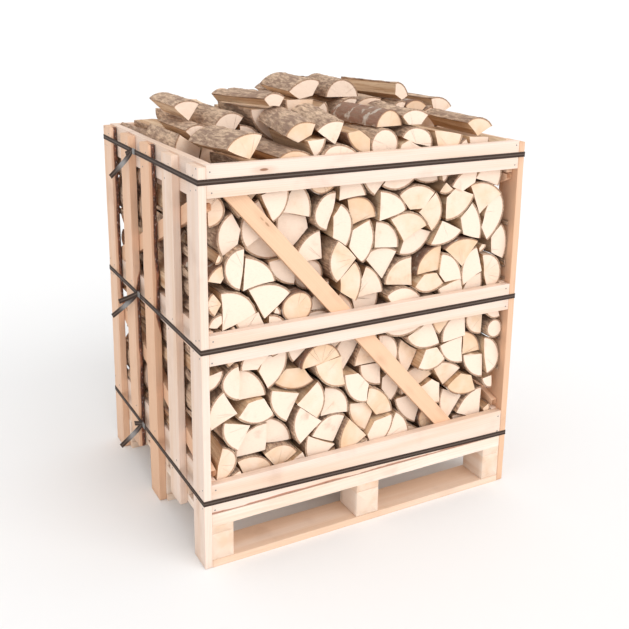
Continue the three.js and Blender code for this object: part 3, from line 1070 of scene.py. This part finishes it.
class CRATE_OT_log_stack(bpy.types.Operator):
    """Stacks the split logs of the three rows"""

    bl_idname = "crate.log_stack"
    bl_label = "Stacked logs"

    def execute(self, context):
        settings = context.scene.crate_logs
        material = firewood(settings)
        heap = Heap()
        for number, row in enumerate(ROWS):
            rng = np.random.default_rng(settings.seed + number)
            self.stack(row, heap, settings, material, rng)
        self.heap(heap, settings, material, np.random.default_rng(settings.seed + 9))
        return {"FINISHED"}

    def stack(self, row, heap, settings, material, rng):
        """The tightly stacked part of one row."""
        low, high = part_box("log_row_" + row)
        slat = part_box("slat_right_1")[0].x
        half = (high.x, slat - 0.0015)
        fine = row != "middle"
        outline_step, detail = (0.0085, 0.026) if fine else (0.012, 0.05)

        def goal(x):
            return heap_line(row, x) - HEAP_LAYER

        logs, xs, heights = stack_row(
            low.z + 0.0005, goal, rail_blocks(row), half, settings.area, outline_step, rng
        )
        heap.cover(row, xs, heights)
        level = (low.z + high.z) / 2
        bodies = {"lower": Body(), "upper": Body()}
        for log in logs:
            section, _, _, x, z = log
            log_length = rng.uniform(*STACK_LENGTHS)
            inner = half[0] - 0.02 - np.abs(section[:, 0] + x).max()
            recess = rng.uniform() ** 2 * settings.recess * (inner > 0)
            front = (low.y + high.y - log_length) / 2
            if row != "middle":
                sign = -1 if row == "front" else 1
                face = sign * (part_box("rail_back_top")[0].y - 0.002)
                if self.behind_brace(row, section + (x, z)):
                    face = sign * (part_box("brace_back")[0].y - 0.002)
                ends = face - sign * recess
                front = ends if row == "front" else ends - log_length
            turn = rng.normal(0, math.radians(0.5), 2)
            if row == "back" and inner < 0:
                turn[0] = -math.copysign(min(LEAN, (half[1] - half[0] + 0.02 + inner) / HALF_LOG), x)
            part = bodies["upper" if z > level else "lower"]
            seed = int(rng.integers(1, 1 << 30))
            add_log(part, log, front, log_length, turn, seed, settings, detail)
        for part, body in bodies.items():
            piece = body.make(f"logs_{row}_{part}", material)
            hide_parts("log_row_" + row)

    def behind_brace(self, row, outline):
        """Whether a log's end lies behind the front or back brace."""
        low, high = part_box("brace_" + row)
        start, end = np.array([low.x, high.z]), np.array([high.x, low.z])
        if row == "back":
            start, end = np.array([high.x, high.z]), np.array([low.x, low.z])
        side = unit(end - start)
        apart = (outline - start) @ np.array([-side[1], side[0]])
        return apart.min() < BRACE_REACH and apart.max() > -BRACE_REACH

    def heap(self, heap, settings, material, rng):
        """Loose logs over the stack, each one where it fills the heap best."""
        for row in ROWS:
            self.top_log(row, heap, settings, material, rng)
        bodies = {row: Body() for row in ROWS}
        for _ in range(HEAP_LOGS):
            best = self.loose_log(heap, settings, rng)
            if best is None or best[0] > POOR_FIT:
                break
            _, log, y, yaw, pitch, log_length, on, top = best
            heap.settle(on, top)
            row = min(ROWS, key=lambda name: abs(y - sum(v.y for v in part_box("log_row_" + name)) / 2))
            seed = int(rng.integers(1, 1 << 30))
            add_log(bodies[row], log, y - log_length / 2, log_length, (yaw, pitch), seed, settings, 0.008)
        for row, body in bodies.items():
            piece = body.make("heap_" + row, material)
            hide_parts("log_row_" + row)

    def loose_log(self, heap, settings, rng):
        """The best of many tries at one more log for the heap: its score, and how it would lie."""
        best = None
        for _ in range(HEAP_TRIES):
            area = settings.area * rng.uniform(0.6, 1.7)
            section, radii, bark = split_section(area, 0.005, rng)
            lie = math.pi / 2 if rng.uniform() < 0.3 else rng.uniform(0, 2 * math.pi)
            section = turned(section, lie + rng.normal(0, 0.2))
            log_length = rng.uniform(0.226, 0.25)
            x = rng.uniform(-0.45, 0.45)
            y = rng.uniform(-0.275, 0.275)
            yaw = rng.normal(math.radians(-2), math.radians(6.5))
            rest = heap.rest(section, x, y, yaw, log_length)
            if rest is None:
                continue
            z, pitch, on, top, stand = rest
            spare = (heap.goal[on] - heap.ground[on]).mean()
            past = np.maximum(0, top - heap.goal[on] - 0.012).mean()
            upright = max(0, np.ptp(section[:, 1]) / np.ptp(section[:, 0]) - 0.85)
            score = stand * 1.2 + past * 5 - spare * 1.3 + upright * 0.14
            if z < OFF_LIMITS / 2 and (best is None or score < best[0]):
                log = (section, radii, bark, x, z + 0.0008)
                best = (score, log, y, yaw, pitch, log_length, on, top)
        return best

    def top_log(self, row, heap, settings, material, rng):
        """The half log on the row's crown, in the place of its CAD log."""
        name = "top_log_" + row
        low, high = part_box(name)
        yaw = math.radians(TOP_YAWS[row])
        radius = high.z - low.z
        phis = np.linspace(0, math.pi, 30)
        radii = radius * (1 + 0.02 * np.sin(3 * phis + rng.uniform(0, 6)))
        arc = np.stack([np.cos(phis), np.sin(phis)], -1) * radii[:, None]
        flat = np.linspace(arc[-1], arc[0], 16)[1:-1]
        section = np.concatenate([arc, flat])
        bark = np.arange(len(section)) < len(arc)
        radii = np.concatenate([radii, np.full(len(flat), radius)])
        size = (high.y - low.y) * 0.93
        x, y = (low.x + high.x) / 2, (low.y + high.y) / 2
        z, pitch, on, top, _ = heap.rest(section, x, y, yaw, size)
        heap.settle(on, top)
        body = Body()
        log = (section, radii, bark, x, z + 0.0008)
        add_log(body, log, y - size / 2, size, (yaw, pitch), 5 + len(row), settings, 0.006)
        piece = body.make(name + "_bark", material)
        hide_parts(name)


# Operators for the crate


class CRATE_OT_pallet(bpy.types.Operator):
    """Makes the pallet's bottom boards, blocks, stringers and deck boards"""

    bl_idname = "crate.pallet"
    bl_label = "Pallet"

    def execute(self, context):
        settings = context.scene.crate_boards
        material = sawn_wood("pallet_wood", settings.raw, settings.warm, settings, knots=0.0)
        names = [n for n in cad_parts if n.startswith(("bottom_", "block_", "stringer_", "deck_"))]
        for name in sorted(names):
            make_board(name, material, settings)
        return {"FINISHED"}


class CRATE_OT_sides(bpy.types.Operator):
    """Makes the slats, the rails and the braces"""

    bl_idname = "crate.sides"
    bl_label = "Slats, rails and braces"

    def execute(self, context):
        settings = context.scene.crate_boards
        wane = settings.wane
        material = sawn_wood("sawn_wood", settings.pale, settings.warm, settings)
        brace = sawn_wood("brace_wood", settings.gold, settings.warm, settings, knots=0.8)
        tones_and_painted_bounce = {"slat_left_1": 0.2, "slat_left_2": 0.4, "slat_left_3": 0.85, "slat_left_4": 0.8}
        # slat_right_1 is painted rosier, standing in for the warm light bounced onto its inner face; the
        # left slats' tones are their own colours
        tones_and_painted_bounce |= {"slat_left_5": 0.75, "slat_right_1": 0.85}
        wanes = {
            "slat_left_3": [(-1, -1, 0.5, 2, wane)],
            "slat_left_4": [(-1, -1, -1, 0.58, wane)],
            "slat_left_5": [(-1, -1, 0.45, 2, wane * 0.8)],
            "slat_right_2": [(-1, -1, 0.3, 2, wane)],
            "rail_front_bottom": [(-1, 1, -1, 2, 0.0035)],
            "rail_back_middle": [(-1, 1, 0.2, 0.8, 0.004)],
        }
        for name in sorted(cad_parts):
            if name.startswith(("slat_", "rail_")):
                make_board(name, material, settings, wanes.get(name, ()), tones_and_painted_bounce.get(name))
            elif name.startswith(("brace_left", "brace_right")):
                make_board(name, material, settings, tone=0.9)
            elif name.startswith("brace_"):
                make_board(name, brace, settings, tone=0.2)
        return {"FINISHED"}


NAIL_MARGIN = 0.012  # from a board's edge to the nearest nail


class CRATE_OT_nails(bpy.types.Operator):
    """Makes the nail heads in the slats and rails"""

    bl_idname = "crate.nails"
    bl_label = "Nails"

    def execute(self, context):
        settings = context.scene.crate_boards
        body = Body()
        rng = np.random.default_rng(3)
        for side, sign in zip(SIDES, (-1, 1)):
            for place in LEVELS:
                self.side_rail(body, side, sign, place, settings.nail, rng)
        for end, sign in (("front", -1), ("back", 1)):
            for place in LEVELS:
                self.end_rail(body, end, sign, place, settings.nail, rng)
        nails = body.make("nail_heads", worn_steel(settings), smooth=60)
        return {"FINISHED"}

    def side_rail(self, body, side, sign, place, radius, rng):
        """A pair of nails where each slat crosses a side rail."""
        low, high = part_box(f"rail_{side}_{place}")
        for i in range(1, 6):
            slat_low, slat_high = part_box(f"slat_{side}_{i}")
            x = slat_high.x if sign > 0 else slat_low.x
            for t in (0.28, 0.72):
                y = slat_low.y + (slat_high.y - slat_low.y) * (1 - t)
                y = min(max(y, low.y + NAIL_MARGIN), high.y - NAIL_MARGIN)
                z = low.z + (high.z - low.z) * t
                self.head(body, (x, y, z), (sign, 0, 0), radius, rng)

    def end_rail(self, body, end, sign, place, radius, rng):
        """Nails from an end rail into the side rails, and from the corner slats into the end rail."""
        low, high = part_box(f"rail_{end}_{place}")
        face = high.y if sign > 0 else low.y
        for side in (-1, 1):
            edge = high.x if side > 0 else low.x
            for t in (0.16, 0.8):
                z = low.z + (high.z - low.z) * t
                self.head(body, (edge - side * 0.011, face, z), (0, sign, 0), radius, rng)
                slat_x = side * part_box("slat_right_1")[1].x
                spot = (slat_x, face - sign * NAIL_MARGIN, z + 0.006)
                self.head(body, spot, (side, 0, 0), radius, rng)

    def head(self, body, spot, normal, radius, rng):
        """One domed head, set just under the wood's face."""
        jitter = rng.normal(0, 0.0025, 3) * (1 - np.abs(normal))
        out = np.array(normal, float)
        side = np.cross(out, (0, 0, 1))
        phis = np.linspace(0, 2 * math.pi, 11)[:-1]
        ring = np.cos(phis)[:, None] * side + np.sin(phis)[:, None] * (0, 0, 1)
        layers = ((0.8, -0.0015), (1, -0.0006), (1, 0.0002), (0.8, 0.0006))
        rings = np.stack([np.array(spot) + jitter + ring * radius * r + out * h for r, h in layers])
        body.add(tube(rings), tube_faces(len(layers), len(phis)))


STRAP_BEND = 0.0008  # inner radius where a strap turns a corner
SIDE_STEPS = 28  # along a strap from corner to corner
# Each strap's two free ends: length, droop in degrees, and how far the end bends out
TAILS = {
    "top": ((0.116, 48, 0.045), (0.032, 25, 0.010)),
    "middle": ((0.163, 40, 0.045), (0.080, 31, 0.038)),
    "bottom": ((0.144, 50, 0.045), (0.045, 20, 0.012)),
}
# How far each strap falls, per metre to the right and to the back
FALLS = {"top": (0, 0), "middle": (0, 0), "bottom": (-0.03, -0.01)}


class CRATE_OT_straps(bpy.types.Operator):
    """Makes the three straps with their free tails, and finishes their seals"""

    bl_idname = "crate.straps"
    bl_label = "Straps"

    def execute(self, context):
        settings = context.scene.crate_straps
        material = strap_plastic(settings)
        steel = worn_steel(context.scene.crate_boards)
        for place in LEVELS:
            body = Body()
            self.ring(body, place, settings)
            for i, tail in enumerate(TAILS[place]):
                self.tail(body, place, tail, i, settings)
            strap = body.make("band_" + place, material, smooth=50)
            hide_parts("strap_" + place)
            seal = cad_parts["seal_" + place]
            seal.data.materials.clear()
            seal.data.materials.append(steel)
            bevel = seal.modifiers.new("crimp", "BEVEL")
            bevel.width, bevel.segments, bevel.limit_method = 0.0004, 2, "ANGLE"
        return {"FINISHED"}

    def band(self, body, path, outward, painted_sheen, settings, closed):
        """A flat band along a path. It stands upright, with outward the way its face looks."""
        half, thick = settings.width / 2, settings.thick
        steps = np.linalg.norm(np.diff(path, axis=0), axis=1)
        run = np.concatenate([[0], np.cumsum(steps)])
        along = np.gradient(path, axis=0)
        along /= np.linalg.norm(along, axis=1)[:, None]
        up = np.cross(outward, along)
        up /= np.linalg.norm(up, axis=1)[:, None]
        up *= np.sign(up[:, 2])[:, None]
        shape = [(-1, 0.2), (-0.94, 0), (-0.2, 0), (0, 0.1), (0.2, 0), (0.94, 0), (1, 0.2)]
        shape += [(1, 0.8), (0.94, 1), (0.2, 1), (0, 0.9), (-0.2, 1), (-0.94, 1), (-1, 0.8)]
        rings = np.stack([path + up * half * a + outward * thick * b for a, b in shape], 1)
        # the third number of grain carries the painted sheen, 0 on the closed band
        grain = np.stack([np.stack([run, run * 0 + half * a, painted_sheen], -1) for a, b in shape], 1)
        faces = tube_faces(len(path), len(shape))
        if closed:
            rings, grain = rings[:-1], grain[:-1]
            count = len(shape)
            faces = [tube_faces(len(path), count)[0] % (len(rings) * count)]
            body.add(rings.reshape(-1, 3), faces, grain=grain.reshape(-1, 3))
        else:
            body.add(tube(rings), faces, grain=tube(grain))

    def ring(self, body, place, settings):
        """The closed band round the crate."""
        half = np.array([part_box("slat_right_1")[1].x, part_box("rail_back_top")[1].y]) + settings.clear
        seal_low, seal_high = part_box("seal_" + place)
        fall_x, fall_y = FALLS[place]
        seal_y = (seal_low.y + seal_high.y) / 2
        level = (seal_low.z + seal_high.z) / 2 + fall_x * half[0] - fall_y * seal_y
        points, outs = [], []
        for turn, corner in enumerate(CORNERS):
            for phi in np.linspace(0, math.pi / 2, 4) + turn * math.pi / 2:
                out = np.array([math.cos(phi), math.sin(phi)])
                points.append((half - STRAP_BEND) * corner + out * STRAP_BEND)
                outs.append(out)
            after = np.array(CORNERS[(turn + 1) % 4]) * (half - STRAP_BEND)
            goal = after + outs[-1] * STRAP_BEND
            start = points[-1]
            points += [start + (goal - start) * t for t in np.linspace(0, 1, SIDE_STEPS + 1)[1:-1]]
            outs += [outs[-1]] * (SIDE_STEPS - 1)
        flat = np.array(points + points[:1])
        outward = np.array(outs + outs[:1])
        z = level + flat @ (fall_x, fall_y)
        path = np.column_stack([flat, z])
        self.band(body, path, np.column_stack([outward, z * 0]), z * 0, settings, True)

    def tail(self, body, place, tail, number, settings):
        """A free end: it leans away from the slats along a parabola and droops."""
        size, droop, bend = tail
        low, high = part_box("seal_" + place)
        t = np.linspace(0, 1, 16)
        down = math.radians(droop)
        leave = np.array([0, math.cos(down), -math.sin(down)])
        out = np.array([-1.0, 0, 0])
        wall = -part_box("slat_right_1")[1].x - settings.clear
        start = np.array([wall, high.y + 0.006, (low.z + high.z) / 2])
        curl = bend * t**1.25
        path = start + t[:, None] * size * leave + curl[:, None] * out
        twist = np.clip(t / 0.3, 0, 1)[:, None]
        along = np.gradient(path, axis=0)
        along /= np.linalg.norm(along, axis=1)[:, None]
        outward = out * (1 - twist) + np.array([-0.62, -0.75, 0.2]) * twist
        outward -= (outward * along).sum(1)[:, None] * along
        outward /= np.linalg.norm(outward, axis=1)[:, None]
        path = path + out * settings.thick * (0.1 + 0.35 * number)
        # painted highlight along the middle of each longer free end
        painted_sheen = np.exp(-(((t - 0.5) / 0.16) ** 2)) * (size > 0.1)
        self.band(body, path, outward, painted_sheen, settings, False)


class CRATE_OT_stage(bpy.types.Operator):
    """Makes the floor, the lights and the camera"""

    bl_idname = "crate.stage"
    bl_label = "Stage"

    def execute(self, context):
        settings = context.scene.crate_stage
        scene = context.scene
        self.camera(scene, settings)
        floor = self.floor(settings)
        scene.collection.objects.link(floor)
        world = bpy.data.worlds.new("studio")
        world.use_nodes = True
        sky = world.node_tree.nodes["Background"]
        sky.inputs["Color"].default_value = (1, 1, 1, 1)
        sky.inputs["Strength"].default_value = settings.sky
        scene.world = world
        data = bpy.data.lights.new("key", "SUN")
        data.energy, data.angle = settings.key, settings.softness
        key = bpy.data.objects.new("key", data)
        key.rotation_euler = Vector(settings.key_from).to_track_quat("Z", "Y").to_euler()
        scene.collection.objects.link(key)
        scene.view_settings.view_transform = "Standard"
        return {"FINISHED"}

    def camera(self, scene, settings):
        data = bpy.data.cameras.new("camera")
        data.lens, data.shift_y = settings.lens, settings.shift
        camera = bpy.data.objects.new("camera", data)
        scene.collection.objects.link(camera)
        turn, tilt, roll = settings.turn, settings.tilt, settings.roll
        ahead = Vector((math.sin(turn) * math.cos(tilt), math.cos(turn) * math.cos(tilt), -math.sin(tilt)))
        right = Vector((math.cos(turn), -math.sin(turn), 0))
        up = right.cross(ahead)
        lean = Matrix.Rotation(roll, 3, -ahead)
        axes = Matrix((lean @ right, lean @ up, -ahead)).transposed()
        camera.matrix_world = Matrix.Translation(settings.place) @ axes.to_4x4()
        scene.camera = camera

    def floor(self, settings):
        """A round floor that sweeps up into the backdrop far behind the crate."""
        profile = ((0.001, 0), (13, 0), (15, 0.1), (17, 0.5), (19, 1.1), (21, 2), (23, 3.2), (25, 4.8))
        turns = np.linspace(0, 2 * math.pi, 97)[:-1]
        points = [(r * math.cos(t), r * math.sin(t), z) for r, z in profile for t in turns]
        count = len(turns)

        def corner(ring, turn):
            return ring * count + turn % count

        faces = [
            (corner(i, j), corner(i, j + 1), corner(i + 1, j + 1), corner(i + 1, j))
            for i in range(len(profile) - 1)
            for j in range(count)
        ]
        mesh = bpy.data.meshes.new("floor")
        mesh.from_pydata(points, [], [tuple(range(count)), *(face[::-1] for face in faces)])
        mesh.shade_smooth()
        mesh.materials.append(floor_paint(settings))
        return bpy.data.objects.new("floor", mesh)


class CRATE_PT_panel(bpy.types.Panel):
    """Lists the crate's operators and settings"""

    bl_idname = "CRATE_PT_panel"
    bl_label = "Firewood crate"
    bl_space_type = "VIEW_3D"
    bl_region_type = "UI"
    bl_category = "Firewood"

    def draw(self, context):
        for operator in OPERATORS:
            self.layout.operator(operator.bl_idname)
        for key, group in SETTINGS.items():
            box = self.layout.box()
            box.label(text=group.__doc__)
            for name in group.__annotations__:
                box.prop(getattr(context.scene, key), name)


SETTINGS = {
    "crate_boards": BoardSettings,
    "crate_logs": LogSettings,
    "crate_straps": StrapSettings,
    "crate_stage": StageSettings,
}
OPERATORS = (
    CRATE_OT_stage,
    CRATE_OT_straps,
    CRATE_OT_pallet,
    CRATE_OT_sides,
    CRATE_OT_nails,
    CRATE_OT_log_stack,
)


def register():
    for group in (*SETTINGS.values(), *OPERATORS, CRATE_PT_panel):
        bpy.utils.register_class(group)
    for key, group in SETTINGS.items():
        setattr(bpy.types.Scene, key, PointerProperty(type=group))


def unregister():
    for key in SETTINGS:
        delattr(bpy.types.Scene, key)
    for group in (CRATE_PT_panel, *OPERATORS, *SETTINGS.values()):
        bpy.utils.unregister_class(group)


def main():
    register()
    for operator in OPERATORS:
        group, name = operator.bl_idname.split(".")
        getattr(getattr(bpy.ops, group), name)()


if __name__ == "__main__":
    main()
